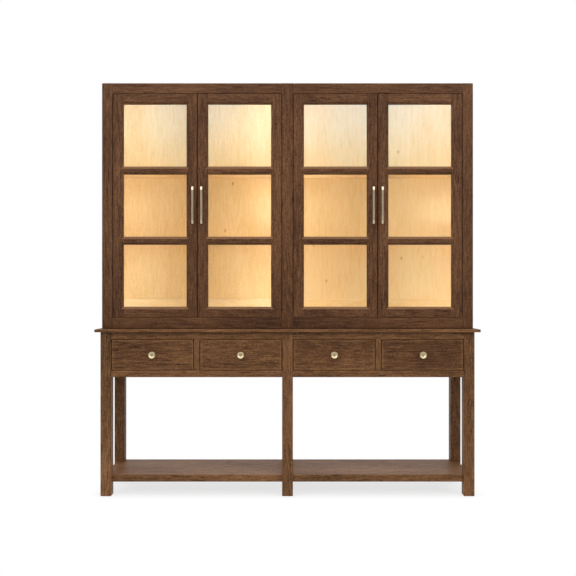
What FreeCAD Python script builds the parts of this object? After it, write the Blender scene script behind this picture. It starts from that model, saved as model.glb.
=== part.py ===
"""Dresser with a glazed, lit hutch: a six-legged base with four drawers and a low shelf,
and a hutch with two pairs of glazed doors. Millimetres, +Z up, the front faces -Y.
The origin is on the floor, at the middle of the piece's width and depth."""
import FreeCAD, Part
import os

V = FreeCAD.Vector
X, Y, Z = range(3)         # axes, in the order of a block's ranges

# Base frame
FRAME_WIDTH = 1978.0        # over the outer faces of the end legs
FRAME_DEPTH = 418.0         # over the front and back faces of the legs
LEG_SIDE = 57.0
LEG_EASE = 2.0
FOOT_CHAMFER = 3.0
GLIDE_RADIUS = 14.0
GLIDE_HIGH = 3.0
GLIDE_NAIL_RADIUS = 2.5
GLIDE_NAIL_LONG = 14.0
TOP_HEIGHT = 886.0          # floor to the upper face of the base's top
TOP_THICK = 15.0
TOP_OVERHANG = 27.0         # past the legs at the front and both ends
TOP_OVERHANG_BACK = 12.0
TOP_ROUND = 3.0
RAIL_THICK = 22.0
TOP_RAIL_HIGH = 38.0
DRAWER_OPENING_HIGH = 165.5
DRAWER_RAIL_HIGH = 35.0
DRAWER_RAIL_DEEP = 45.0     # carries the drawers' sides as they come out
DIVIDER_WIDE = 30.0
DIVIDER_TENON_LONG = 12.0
APRON_INSET = 4.0           # of the side and back aprons from the legs' outer faces
TENON_WALL = 17.0           # wood left between two tenons that meet in one leg
TENON_THICK = 8.0
TENON_SHOULDER = 6.0
SHELF_BOTTOM = 76.0
SHELF_THICK = 38.0
SHELF_INSET = 15.0          # from the legs' front and end faces
SHELF_HOUSING = 5.0         # depth that the low shelf enters each leg
SHELF_EASE = 4.0

# Drawers
DRAWER_GAP = 3.0            # round each front, and from box to leg
DRAWER_FRONT_THICK = 20.0
DRAWER_FRONT_EASE = 2.5
DRAWER_SIDE_THICK = 12.0
DRAWER_BACK_THICK = 12.0
DRAWER_SIDE_DROP = 14.0     # top of the sides below the top of the front
DRAWER_LAP = 10.0           # of the sides into the front
DRAWER_HOUSING = 5.0        # of the back into the sides
DRAWER_BOTTOM_THICK = 6.0
DRAWER_BOTTOM_LIFT = 14.0   # from the sides' lower edge to the bottom
DRAWER_GROOVE = 6.0
DRAWER_BACK_ROOM = 10.0     # from the box to the back apron
RUN_GAP = 0.3               # under the sides, on the runners
GUIDE_GAP = 1.0             # beside the sides, at the guides
LEDGE_WIDE = 22.0
LEDGE_THICK = 16.0
GUIDE_HIGH = 24.0
KICKER_GAP = 2.0            # above the sides
KNOB_REACH = 30.0           # from the drawer front to the knob's face
KNOB_PLATE = 29.0
KNOB_PLATE_THICK = 3.0
KNOB_STEM_RADIUS = 7.0
KNOB_HEAD_RADIUS = 18.5
KNOB_HEAD_THICK = 11.0
KNOB_HEAD_ROUND = 2.5
KNOB_DISH_RADIUS = 14.5     # hollow turned in the knob's face, with a button in its middle
KNOB_DISH_FLOOR = 8.0
KNOB_DISH_DEEP = 3.5
KNOB_BUTTON_RADIUS = 4.0
KNOB_BUTTON_HIGH = 2.0
KNOB_SCREW_RADIUS = 2.0
KNOB_SCREW_BITE = 16.0      # length in the drawer front

# Hutch case
HUTCH_HIGH = 1310.0
HUTCH_SETBACK = 39.0        # of the hutch's front behind the legs' front
HUTCH_CORNER_ROUND = 5.0    # of the two upper outer corners
CASE_THICK = 22.0
CASE_HOUSING = 8.0          # of top and floor into the sides
PARTITION_HOUSING = 6.0     # of the partition into top and floor
BACK_THICK = 9.0
BACK_REBATE = 11.0          # of the back panels into the sides
BACK_JOINT = 0.5            # between the two panels, behind the partition
FLOOR_RISE = 6.0            # of the floor above the face frame's bottom rail, to stop the light
FLOOR_REBATE = 5.0          # room at the floor's front for the turning doors
CLEAT_HIGH = 89.0           # rail along the foot of each back panel
CLEAT_THICK = 18.0
FACE_THICK = 22.0           # face frame and doors
STILE_WIDE = 55.5
CENTRE_STILE_WIDE = 58.0
FACE_TOP_RAIL = 54.0
FACE_BOTTOM_RAIL = 60.0
FACE_TENON_LONG = 16.0
FOOT_GROOVE_HIGH = 4.5      # shadow groove along the foot of the face frame
FOOT_GROOVE_DEEP = 6.0
INNER_SHELF_THICK = 20.0
INNER_SHELF_END_GAP = 1.0
INNER_SHELF_LIFT = 16.0     # of the shelves' middle above the muntins' middle, so that the muntins hide them
INNER_SHELF_FRONT_ROOM = 40.0
INNER_SHELF_BACK_GAP = 1.0
PIN_RADIUS = 3.0
PIN_BITE = 8.0              # length in the wall
PIN_TAB_LONG = 11.0
PIN_TAB_WIDE = 12.0
PIN_TAB_THICK = 3.0
PIN_INSET = 45.0            # from the shelf's front and back edges
CHANNEL_WIDE = 15.0         # light channel, a U open to the back
CHANNEL_DEEP = 9.0
CHANNEL_WALL = 1.5
CHANNEL_CLEAR = 0.6         # from a channel to the door's edge
CHANNEL_LIP = 4.0           # of an upright channel behind the door's edge, to stop the light
CHANNEL_LIP_BACK = 4.5      # of the lip behind the closed door, clear of its turning corner
DIFFUSER_THICK = 2.0
DRIVER_LONG = 180.0         # lamp driver in the space below the hutch floor
DRIVER_DEEP = 60.0
DRIVER_HIGH = 25.0
DRIVER_BACK_ROOM = 10.0
DRIVER_OFFSET = 100.0       # from the middle of the hutch
POST_WIDE = 24.0            # slim post behind the two doors of a pair, where they meet
POST_DEEP = 12.0
POST_GAP = 0.3              # behind the closed doors
POST_GRIP = 16.0            # up the top rail's back
POST_HOUSING = 4.0          # of the foot into the floor
CATCH_RADIUS = 4.0          # round magnets let into the posts
CATCH_DEEP = 6.0
CATCH_FROM_MIDDLE = 6.5
CATCH_INSET = 30.0          # from the doors' top and bottom edges

# Doors
DOOR_GAP = 3.0
PAIR_GAP = 4.0              # between the two doors of a pair
DOOR_STILE = 56.0
DOOR_RAIL = 55.0
MUNTIN = 44.0
PANE_ROWS = 3
BEVEL_WIDE = 13.0           # sloped edge round each pane
BEVEL_DEEP = 9.0
GLASS_SEAT = 12.0           # depth of the glass behind the door's front
GLASS_THICK = 3.0
GLASS_REBATE = 7.0
GLASS_EDGE_GAP = 0.5
DOOR_TENON_LONG = 30.0
DOOR_TENON_THICK = 8.0
DOOR_TENON_SHOULDER = 10.0
TENON_FROM_BEVEL = 1.0
HINGE_BACKSET = 12.0        # from the door's hinge edge to the pin
HINGE_DEPTH = 7.0           # from the door's front to the pin
HINGE_LONG = 40.0
HINGE_WIDE = 11.0
HINGE_TAIL = 8.0            # leaf past the pin, towards the hinge edge
FRAME_LEAF_THICK = 2.0
DOOR_LEAF_THICK = 3.0
HINGE_PIN_RADIUS = 3.0
HINGE_PIN_LONG = 7.0        # length in the door
HINGE_PIN_GAP = 0.1
HINGE_COLLAR_RADIUS = 5.0
HINGE_COLLAR_GAP = 0.3
HANDLE_LONG = 196.0
HANDLE_REACH = 30.0
HANDLE_BAR_WIDE = 10.0
HANDLE_BAR_DEEP = 8.0
HANDLE_SLOPE_LONG = 18.0    # at each end the bar's front slopes back towards the door
HANDLE_SLOPE_DEEP = 6.0
HANDLE_FOOT_WIDE = 9.0
HANDLE_FOOT_HIGH = 16.0
HANDLE_EASE = 1.5
EDGE_EASE = 1.0             # eased edges of the boards

# Places that follow from the sizes
front_reach = max(TOP_OVERHANG, KNOB_REACH)
total_depth = front_reach + FRAME_DEPTH + TOP_OVERHANG_BACK
leg_front = front_reach - total_depth / 2
leg_back = leg_front + FRAME_DEPTH
frame_edge = FRAME_WIDTH / 2
leg_inner = frame_edge - LEG_SIDE
centre_edge = LEG_SIDE / 2
leg_tenon = (LEG_SIDE - TENON_WALL) / 2
top_under = TOP_HEIGHT - TOP_THICK
opening_top = top_under - TOP_RAIL_HIGH
opening_bottom = opening_top - DRAWER_OPENING_HIGH
rail_bottom = opening_bottom - DRAWER_RAIL_HIGH
rail_back = leg_front + RAIL_THICK
drawer_rail_back = leg_front + DRAWER_RAIL_DEEP
apron_front = leg_back - APRON_INSET - RAIL_THICK
opening_wide = (leg_inner - centre_edge - DIVIDER_WIDE) / 2

hutch_front = leg_front + HUTCH_SETBACK
hutch_back = leg_back
hutch_top = TOP_HEIGHT + HUTCH_HIGH
case_front = hutch_front + FACE_THICK
panel_front = hutch_back - BACK_THICK
case_inner = frame_edge - CASE_THICK
partition_half = CASE_THICK / 2
face_opening_bottom = TOP_HEIGHT + FACE_BOTTOM_RAIL
face_opening_top = hutch_top - FACE_TOP_RAIL
floor_top = face_opening_bottom + FLOOR_RISE
ceiling = hutch_top - CASE_THICK
face_inner = frame_edge - STILE_WIDE
centre_stile_edge = CENTRE_STILE_WIDE / 2
door_bottom = face_opening_bottom + DOOR_GAP
door_top = face_opening_top - DOOR_GAP
door_wide = (face_inner - centre_stile_edge - 2 * DOOR_GAP - PAIR_GAP) / 2
pane_high = (door_top - door_bottom - 2 * DOOR_RAIL - (PANE_ROWS - 1) * MUNTIN) / PANE_ROWS
bay_starts = (-face_inner, centre_stile_edge)


def block(ranges):
    """A box from its x, y and z ranges."""
    low = V(*[pair[0] for pair in ranges])
    size = [pair[1] - pair[0] for pair in ranges]
    return Part.makeBox(*size, low)


def eased(solid, length, ease):
    """The solid with its edges along the given axis eased."""
    along = V(*[1.0 if axis == length else 0.0 for axis in (X, Y, Z)])
    edges = [edge for edge in solid.Edges if abs(edge.tangentAt(edge.FirstParameter).dot(along)) > 0.99]
    return solid.makeChamfer(ease, edges)


def board(ranges, length, ease=EDGE_EASE):
    """A board with its four edges along the given axis eased."""
    return eased(block(ranges), length, ease)


def tenoned(ranges, length, thickness, tenon_long, tenon_thick, shoulders):
    """An eased board with a tenon on both ends, in the middle of its thickness."""
    tenon = list(ranges)
    low, high = ranges[length]
    tenon[length] = (low - tenon_long, high + tenon_long)
    middle = sum(ranges[thickness]) / 2
    tenon[thickness] = (middle - tenon_thick / 2, middle + tenon_thick / 2)
    height = X + Y + Z - length - thickness
    low, high = ranges[height]
    tenon[height] = (low + shoulders[0], high - shoulders[1])
    return board(ranges, length).fuse(block(tenon)).removeSplitter().Solids[0]


def carve(solid, tools):
    """The solid with every tool cut out of it."""
    for tool in tools:
        solid = solid.cut(tool)
    return solid.removeSplitter().Solids[0]


def cylinder(radius, length, start, direction):
    return Part.makeCylinder(radius, length, start, direction)


def save(name, solids):
    Part.makeCompound(solids).exportStep(f"parts/{name}.step")


def drawer_openings():
    """The x range of each drawer opening, from the left."""
    for bay_start in (-leg_inner, centre_edge):
        for place in range(2):
            start = bay_start + place * (opening_wide + DIVIDER_WIDE)
            yield start, start + opening_wide


def door_places():
    """The x range of each door and the side of its hinge, from the left."""
    for bay_start in bay_starts:
        first = bay_start + DOOR_GAP
        second = first + door_wide + PAIR_GAP
        yield first, first + door_wide, -1
        yield second, second + door_wide, 1


def meeting_places():
    """The middle of the gap between the two doors of each pair."""
    return [bay_start + DOOR_GAP + door_wide + PAIR_GAP / 2 for bay_start in bay_starts]


def pane_heights():
    """The z range of each pane's sight opening, from the bottom."""
    for row in range(PANE_ROWS):
        low = door_bottom + DOOR_RAIL + row * (pane_high + MUNTIN)
        yield low, low + pane_high


def shelf_heights():
    """The middle of each inner shelf, behind the muntins."""
    panes = list(pane_heights())
    return [high + MUNTIN / 2 + INNER_SHELF_LIFT for low, high in panes[:-1]]


# Base

def leg_places():
    columns = {"left": -frame_edge, "centre": -centre_edge, "right": leg_inner}
    rows = {"front": leg_front, "back": leg_back - LEG_SIDE}
    for row, y in rows.items():
        for column, x in columns.items():
            yield f"leg_{row}_{column}", x, y


def front_rails():
    solids = []
    shoulders = (TENON_SHOULDER, TENON_SHOULDER)
    lower = [(leg_front, drawer_rail_back), (rail_bottom, opening_bottom)]
    upper = [(leg_front, rail_back), (opening_top, top_under)]
    for x_range in ((-leg_inner, -centre_edge), (centre_edge, leg_inner)):
        for section in (lower, upper):
            solids.append(tenoned([x_range] + section, X, Y, leg_tenon, TENON_THICK, shoulders))
    return solids


def drawer_dividers():
    solids = []
    shoulders = (TENON_SHOULDER, TENON_SHOULDER)
    for start in (-leg_inner, centre_edge):
        x = start + opening_wide
        ranges = [(x, x + DIVIDER_WIDE), (leg_front, rail_back), (opening_bottom, opening_top)]
        solids.append(tenoned(ranges, Z, Y, DIVIDER_TENON_LONG, TENON_THICK, shoulders))
    return solids


def side_aprons():
    solids = []
    shoulders = (TENON_SHOULDER, TENON_SHOULDER)
    outer = frame_edge - APRON_INSET
    y_range = (leg_front + LEG_SIDE, leg_back - LEG_SIDE)
    for x_range in ((-outer, RAIL_THICK - outer), (outer - RAIL_THICK, outer)):
        ranges = [x_range, y_range, (rail_bottom, top_under)]
        solids.append(tenoned(ranges, Y, X, leg_tenon, TENON_THICK, shoulders))
    return solids


def back_aprons():
    solids = []
    shoulders = (TENON_SHOULDER, TENON_SHOULDER)
    y_range = (apron_front, apron_front + RAIL_THICK)
    for x_range in ((-leg_inner, -centre_edge), (centre_edge, leg_inner)):
        ranges = [x_range, y_range, (rail_bottom, top_under)]
        solids.append(tenoned(ranges, X, Y, leg_tenon, TENON_THICK, shoulders))
    return solids


def lower_shelf():
    """One board, notched round the legs and let into each of them."""
    edge = frame_edge - SHELF_INSET
    ranges = [(-edge, edge), (leg_front + SHELF_INSET, leg_back), (SHELF_BOTTOM, SHELF_BOTTOM + SHELF_THICK)]
    notches = []
    for name, x, y in leg_places():
        x_range = (x + SHELF_HOUSING, x + LEG_SIDE - SHELF_HOUSING)
        y_range = (y + SHELF_HOUSING, y + LEG_SIDE - SHELF_HOUSING)
        if x < -LEG_SIDE:
            x_range = (x, x_range[1])
        if x > 0:
            x_range = (x_range[0], x + LEG_SIDE)
        if y > 0:
            y_range = (y_range[0], y + LEG_SIDE)
        else:
            y_range = (y, y_range[1])
        notches.append(block([x_range, y_range, ranges[Z]]))
    return carve(board(ranges, X, SHELF_EASE), notches)


def foot_glides():
    solids = []
    for name, x, y in leg_places():
        foot = V(x + LEG_SIDE / 2, y + LEG_SIDE / 2, 0)
        disc = cylinder(GLIDE_RADIUS, GLIDE_HIGH, foot, V(0, 0, 1))
        nail = cylinder(GLIDE_NAIL_RADIUS, GLIDE_HIGH + GLIDE_NAIL_LONG, foot, V(0, 0, 1))
        solids.append(disc.fuse(nail).removeSplitter().Solids[0])
    return solids


def leg(x, y, tools):
    ranges = [(x, x + LEG_SIDE), (y, y + LEG_SIDE), (GLIDE_HIGH, top_under)]
    post = block(ranges)
    sole = [edge for edge in post.Edges if edge.BoundBox.ZMax < GLIDE_HIGH + FOOT_CHAMFER]
    return carve(eased(post.makeChamfer(FOOT_CHAMFER, sole), Z, LEG_EASE), tools)


def drawer_side_heights():
    low = opening_bottom + RUN_GAP
    return low, opening_top - DRAWER_GAP - DRAWER_SIDE_DROP


def drawer_runners(legs):
    """Runners with a guide beside the drawers, and kickers above, at both ends and between drawers."""
    proud = DRAWER_GAP - GUIDE_GAP
    outer = frame_edge - APRON_INSET - RAIL_THICK
    behind_leg = (leg_front + LEG_SIDE, leg_back - LEG_SIDE)
    whole = (drawer_rail_back, apron_front)
    spans = [(-outer, -leg_inner, behind_leg, 0, 1), (-centre_edge, centre_edge, behind_leg, 1, 1),
             (leg_inner, outer, behind_leg, 1, 0)]
    for start in (-leg_inner, centre_edge):
        spans.append((start + opening_wide, start + opening_wide + DIVIDER_WIDE, whole, 1, 1))
    kicker_low = drawer_side_heights()[1] + KICKER_GAP
    solids = []
    for start, end, guide_y, left, right in spans:
        ledge_x = (start - left * LEDGE_WIDE, end + right * LEDGE_WIDE)
        guide_x = (start - left * proud, end + right * proud)
        ledge = block([ledge_x, whole, (opening_bottom - LEDGE_THICK, opening_bottom)])
        guide = block([guide_x, guide_y, (opening_bottom - LEDGE_THICK, opening_bottom + GUIDE_HIGH)])
        kicker = block([ledge_x, (rail_back, apron_front), (kicker_low, top_under)])
        solids.append(carve(ledge.fuse(guide), legs))
        solids.append(carve(kicker, legs))
    return solids


def base_top():
    edge = frame_edge + TOP_OVERHANG
    y_range = (leg_front - TOP_OVERHANG, leg_back + TOP_OVERHANG_BACK)
    slab = block([(-edge, edge), y_range, (top_under, TOP_HEIGHT)])
    return slab.makeFillet(TOP_ROUND, slab.Edges)


def build_base():
    rails = front_rails()
    dividers = drawer_dividers()
    sides = side_aprons()
    backs = back_aprons()
    shelf = lower_shelf()
    glides = foot_glides()
    joints = rails + sides + backs + [shelf] + glides
    whole_legs = []
    for name, x, y in leg_places():
        save(name, [leg(x, y, joints)])
        whole_legs.append(block([(x, x + LEG_SIDE), (y, y + LEG_SIDE), (0, top_under)]))
    save("base_top", [base_top()])
    save("front_rails", [carve(rail, dividers) for rail in rails])
    save("drawer_dividers", dividers)
    save("side_aprons", sides)
    save("back_aprons", backs)
    save("lower_shelf", [shelf])
    save("foot_glides", glides)
    save("drawer_runners", drawer_runners(whole_legs))


# Drawers

def knob(x, z):
    """A turned knob with a dished face, its screw, and the square plate behind it."""
    out = V(0, -1, 0)
    seat = V(x, leg_front, z)
    neck = KNOB_REACH - KNOB_HEAD_THICK
    head_start = seat + out * neck
    head = cylinder(KNOB_HEAD_RADIUS, KNOB_HEAD_THICK, head_start, out)
    rims = [edge for edge in head.Edges if len(edge.Vertexes) == 1]
    head = head.makeFillet(KNOB_HEAD_ROUND, rims)
    dish_floor = seat + out * (KNOB_REACH - KNOB_DISH_DEEP)
    dish = Part.makeCone(KNOB_DISH_FLOOR, KNOB_DISH_RADIUS, KNOB_DISH_DEEP, dish_floor, out)
    dish = dish.cut(cylinder(KNOB_BUTTON_RADIUS, KNOB_BUTTON_HIGH, dish_floor, out))
    stem_start = seat + out * KNOB_PLATE_THICK
    stem = cylinder(KNOB_STEM_RADIUS, neck - KNOB_PLATE_THICK, stem_start, out)
    screw_start = seat - out * KNOB_SCREW_BITE
    screw = cylinder(KNOB_SCREW_RADIUS, KNOB_SCREW_BITE + neck, screw_start, out)
    turned = carve(head.fuse([stem, screw]), [dish])
    half = KNOB_PLATE / 2
    plate = block([(x - half, x + half), (leg_front - KNOB_PLATE_THICK, leg_front), (z - half, z + half)])
    edges = [edge for edge in plate.Edges if edge.BoundBox.YMax < leg_front - KNOB_PLATE_THICK / 2]
    plate = carve(plate.makeChamfer(EDGE_EASE, edges), [screw])
    return turned, plate, screw


def drawer(start, end):
    """Front, box pieces and knob pieces of the drawer in one opening."""
    x_range = (start + DRAWER_GAP, end - DRAWER_GAP)
    front_z = (opening_bottom + DRAWER_GAP, opening_top - DRAWER_GAP)
    side_z = drawer_side_heights()
    front_back = leg_front + DRAWER_FRONT_THICK
    box_back = apron_front - DRAWER_BACK_ROOM
    inner = (x_range[0] + DRAWER_SIDE_THICK, x_range[1] - DRAWER_SIDE_THICK)
    side_y = (front_back - DRAWER_LAP, box_back)
    bottom_low = side_z[0] + DRAWER_BOTTOM_LIFT
    bottom_x = (inner[0] - DRAWER_GROOVE, inner[1] + DRAWER_GROOVE)
    back_face = box_back - DRAWER_BACK_THICK
    bottom_y = (front_back - DRAWER_GROOVE, back_face + DRAWER_GROOVE)
    bottom = block([bottom_x, bottom_y, (bottom_low, bottom_low + DRAWER_BOTTOM_THICK)])
    back_x = (inner[0] - DRAWER_HOUSING, inner[1] + DRAWER_HOUSING)
    back = carve(board([back_x, (back_face, box_back), side_z], X), [bottom])
    sides = []
    for side_x in ((x_range[0], inner[0]), (inner[1], x_range[1])):
        sides.append(carve(board([side_x, side_y, side_z], Y), [back, bottom]))
    turned, plate, screw = knob(sum(x_range) / 2, sum(front_z) / 2)
    front = block([x_range, (leg_front, front_back), front_z])
    edges = [edge for edge in front.Edges if edge.BoundBox.YMax < leg_front + DRAWER_FRONT_EASE]
    front = carve(front.makeChamfer(DRAWER_FRONT_EASE, edges), sides + [bottom, screw])
    return front, sides + [back, bottom], [turned, plate]


def build_drawers():
    for number, (start, end) in enumerate(drawer_openings(), 1):
        front, box, pull = drawer(start, end)
        save(f"drawer_{number}_front", [front])
        save(f"drawer_{number}_box", box)
        save(f"drawer_{number}_knob", pull)


# Hutch case

def channel(ranges, across):
    """A U channel open to the back, with its walls on both sides along the given axis, and its diffuser strip."""
    low, high = ranges[across]
    mouth = list(ranges)
    mouth[across] = (low + CHANNEL_WALL, high - CHANNEL_WALL)
    mouth[Y] = (ranges[Y][0] + CHANNEL_WALL, ranges[Y][1])
    strip = list(mouth)
    strip[Y] = (ranges[Y][1] - DIFFUSER_THICK, ranges[Y][1])
    return block(ranges).cut(block(mouth)).Solids[0], block(strip)


def light_channels():
    """In each bay two channels along the top rail, across the gap above the doors, on either side of the post,
    and two on the stiles' backs, across the doors' hinge gaps, each with a lip behind the door's edge."""
    bodies = []
    strips = []
    y_range = (case_front, case_front + CHANNEL_DEEP)
    lip_y = (case_front + CHANNEL_LIP_BACK, y_range[1])
    level_low = door_top + CHANNEL_CLEAR
    outer = face_inner - DOOR_GAP + CHANNEL_CLEAR
    inner = centre_stile_edge + DOOR_GAP - CHANNEL_CLEAR
    for edge, to_door in ((-outer, 1), (-inner, -1), (inner, 1), (outer, -1)):
        x_range = sorted((edge, edge - to_door * CHANNEL_WIDE))
        body, strip = channel([x_range, y_range, (floor_top, level_low)], X)
        lip = block([sorted((edge, edge + to_door * CHANNEL_LIP)), lip_y, (floor_top, level_low)])
        bodies.append(body.fuse(lip).removeSplitter().Solids[0])
        strips.append(strip)
    half = POST_WIDE / 2
    left, right = meeting_places()
    for x_range in ((-case_inner, left - half), (left + half, -partition_half),
                    (partition_half, right - half), (right + half, case_inner)):
        body, strip = channel([x_range, y_range, (level_low, level_low + CHANNEL_WIDE)], Z)
        bodies.append(body)
        strips.append(strip)
    return bodies, strips


def inner_shelves():
    """Two shelves in each bay and the four pins under each."""
    shelves = []
    pins = []
    y_range = (case_front + INNER_SHELF_FRONT_ROOM, panel_front - INNER_SHELF_BACK_GAP)
    for start, end in ((-case_inner, -partition_half), (partition_half, case_inner)):
        x_range = (start + INNER_SHELF_END_GAP, end - INNER_SHELF_END_GAP)
        for middle in shelf_heights():
            low = middle - INNER_SHELF_THICK / 2
            shelves.append(board([x_range, y_range, (low, low + INNER_SHELF_THICK)], X))
            for wall, inward in ((start, 1), (end, -1)):
                for y in (y_range[0] + PIN_INSET, y_range[1] - PIN_INSET):
                    pins.append(shelf_pin(wall, inward, y, low))
    return shelves, pins


def shelf_pin(wall, inward, y, shelf_under):
    """A round pin let into the wall, with a flat tab that the shelf lies on."""
    start = V(wall - inward * PIN_BITE, y, shelf_under - PIN_RADIUS)
    shank = cylinder(PIN_RADIUS, PIN_BITE, start, V(inward, 0, 0))
    tab_x = sorted((wall, wall + inward * PIN_TAB_LONG))
    tab = block([tab_x, (y - PIN_TAB_WIDE / 2, y + PIN_TAB_WIDE / 2), (shelf_under - PIN_TAB_THICK, shelf_under)])
    return shank.fuse(tab).removeSplitter().Solids[0]


def back_panels():
    panels = []
    edge = frame_edge - CASE_THICK + BACK_REBATE
    for x_range in ((-edge, -BACK_JOINT / 2), (BACK_JOINT / 2, edge)):
        panels.append(block([x_range, (panel_front, hutch_back), (TOP_HEIGHT, hutch_top)]))
    return panels


def back_cleats():
    cleats = []
    y_range = (panel_front - CLEAT_THICK, panel_front)
    for x_range in ((-case_inner, -partition_half), (partition_half, case_inner)):
        cleats.append(board([x_range, y_range, (floor_top, floor_top + CLEAT_HIGH)], X))
    return cleats


def hinge_place(start, end, side):
    """The hinge pin's x, and the way from the hinge edge into the door."""
    if side < 0:
        return start + HINGE_BACKSET, 1
    return end - HINGE_BACKSET, -1


def hinge_leaf(pin_x, inward, z_range):
    x_range = sorted((pin_x - inward * HINGE_TAIL, pin_x + inward * (HINGE_LONG - HINGE_TAIL)))
    pin_y = hutch_front + HINGE_DEPTH
    return block([x_range, (pin_y - HINGE_WIDE / 2, pin_y + HINGE_WIDE / 2), z_range])


def frame_hinge_leaves():
    """Pivot leaves let into the face frame's rails, each with a collar and a pin for the door."""
    leaves = []
    pin_y = hutch_front + HINGE_DEPTH
    collar = DOOR_GAP - HINGE_COLLAR_GAP
    for start, end, side in door_places():
        pin_x, inward = hinge_place(start, end, side)
        for face, up in ((face_opening_bottom, 1), (face_opening_top, -1)):
            leaf = hinge_leaf(pin_x, inward, sorted((face, face - up * FRAME_LEAF_THICK)))
            foot = V(pin_x, pin_y, face)
            ring = cylinder(HINGE_COLLAR_RADIUS, collar, foot, V(0, 0, up))
            pin = cylinder(HINGE_PIN_RADIUS, DOOR_GAP + HINGE_PIN_LONG, foot, V(0, 0, up))
            leaves.append(leaf.fuse([ring, pin]).removeSplitter().Solids[0])
    return leaves


def face_rails():
    solids = []
    shoulders = (TENON_SHOULDER, TENON_SHOULDER)
    for x_range in ((-face_inner, -centre_stile_edge), (centre_stile_edge, face_inner)):
        for z_range in ((TOP_HEIGHT, face_opening_bottom), (face_opening_top, hutch_top)):
            ranges = [x_range, (hutch_front, case_front), z_range]
            solids.append(tenoned(ranges, X, Y, FACE_TENON_LONG, TENON_THICK, shoulders))
    return solids


def upper_corners():
    """The wood taken off to round the hutch's two upper outer corners."""
    tools = []
    radius = HUTCH_CORNER_ROUND
    for side in (-1, 1):
        middle = V(side * (frame_edge - radius), hutch_front, hutch_top - radius)
        x_range = sorted((middle.x, side * frame_edge))
        square = block([x_range, (hutch_front, hutch_back), (middle.z, hutch_top)])
        tools.append(square.cut(cylinder(radius, hutch_back - hutch_front, middle, V(0, 1, 0))))
    return tools


def face_stiles(tools):
    solids = []
    edges = ((-frame_edge, -face_inner), (-centre_stile_edge, centre_stile_edge), (face_inner, frame_edge))
    for x_range in edges:
        stile = board([x_range, (hutch_front, case_front), (TOP_HEIGHT, hutch_top)], Z)
        solids.append(carve(stile, tools))
    return solids


def foot_groove():
    """The wood taken off along the foot of the face frame, for a shadow line above the base's top."""
    y_range = (hutch_front, hutch_front + FOOT_GROOVE_DEEP)
    return block([(-frame_edge, frame_edge), y_range, (TOP_HEIGHT, TOP_HEIGHT + FOOT_GROOVE_HIGH)])


def door_catches():
    """Round magnets in the posts' fronts, two for each door."""
    catches = []
    face = case_front + POST_GAP
    for middle in meeting_places():
        for x in (middle - CATCH_FROM_MIDDLE, middle + CATCH_FROM_MIDDLE):
            for z in (door_bottom + CATCH_INSET, door_top - CATCH_INSET):
                catches.append(cylinder(CATCH_RADIUS, CATCH_DEEP, V(x, face, z), V(0, 1, 0)))
    return catches


def stop_posts(catches):
    """The posts that the doors close on and that stop the light between them."""
    posts = []
    y_range = (case_front, case_front + POST_DEEP)
    foot = floor_top - POST_HOUSING
    for middle in meeting_places():
        x_range = (middle - POST_WIDE / 2, middle + POST_WIDE / 2)
        post = board([x_range, y_range, (foot, face_opening_top + POST_GRIP)], Z)
        room = block([x_range, (case_front, case_front + POST_GAP), (foot, face_opening_top)])
        posts.append(carve(post, [room] + catches))
    return posts


def lamp_driver():
    y_end = panel_front - DRIVER_BACK_ROOM
    x_range = (DRIVER_OFFSET, DRIVER_OFFSET + DRIVER_LONG)
    return board([x_range, (y_end - DRIVER_DEEP, y_end), (TOP_HEIGHT, TOP_HEIGHT + DRIVER_HIGH)], X)


def build_hutch():
    panels = back_panels()
    shelves, pins = inner_shelves()
    channels, strips = light_channels()
    leaves = frame_hinge_leaves()
    rails = face_rails()
    corners = upper_corners()
    groove = foot_groove()
    catches = door_catches()
    posts = stop_posts(catches)
    case_y = (case_front, panel_front)
    deck_x = (-case_inner - CASE_HOUSING, case_inner + CASE_HOUSING)
    partition_z = (floor_top - PARTITION_HOUSING, ceiling + PARTITION_HOUSING)
    partition = block([(-partition_half, partition_half), case_y, partition_z])
    ceiling_board = carve(block([deck_x, case_y, (ceiling, hutch_top)]), [partition])
    door_room = block([deck_x, (case_front, case_front + FLOOR_REBATE), (face_opening_bottom, floor_top)])
    floor_board = block([deck_x, case_y, (floor_top - CASE_THICK, floor_top)])
    floor_board = carve(floor_board, [partition, door_room] + posts)
    uprights = [carve(partition, pins)]
    for x_range in ((-frame_edge, -case_inner), (case_inner, frame_edge)):
        side = board([x_range, (case_front, hutch_back), (TOP_HEIGHT, hutch_top)], Z)
        uprights.append(carve(side, panels + [ceiling_board, floor_board] + pins + corners))
    save("hutch_uprights", uprights)
    save("hutch_top", [ceiling_board])
    save("hutch_floor", [floor_board])
    save("hutch_back", panels)
    save("back_cleats", back_cleats())
    save("face_frame_stiles", face_stiles(rails + corners + [groove]) + posts)
    save("face_frame_rails", [carve(rail, leaves + [groove]) for rail in rails])
    save("hutch_shelves", shelves)
    save("shelf_pins", pins)
    save("led_channels", channels)
    save("led_diffusers", strips)
    save("led_driver", [lamp_driver()])
    save("frame_hinge_leaves", leaves)
    save("door_catches", catches)


# Doors

def pane_cuts(start, end):
    """For each pane, the sloped cut round it from the front and the rebate for the glass from the back."""
    cuts = []
    sight = (start + DOOR_STILE, end - DOOR_STILE)
    for low, high in pane_heights():
        wires = []
        for depth, spread in ((0.0, BEVEL_WIDE), (BEVEL_DEEP, 0.0)):
            y = hutch_front + depth
            x0, x1 = sight[0] - spread, sight[1] + spread
            z0, z1 = low - spread, high + spread
            wires.append(Part.makePolygon([V(x0, y, z0), V(x1, y, z0), V(x1, y, z1), V(x0, y, z1), V(x0, y, z0)]))
        cuts.append(Part.makeLoft(wires, True, True))
        rebate_x = (sight[0] - GLASS_REBATE, sight[1] + GLASS_REBATE)
        rebate_z = (low - GLASS_REBATE, high + GLASS_REBATE)
        cuts.append(block([rebate_x, (hutch_front + GLASS_SEAT, case_front), rebate_z]))
    return cuts


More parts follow.
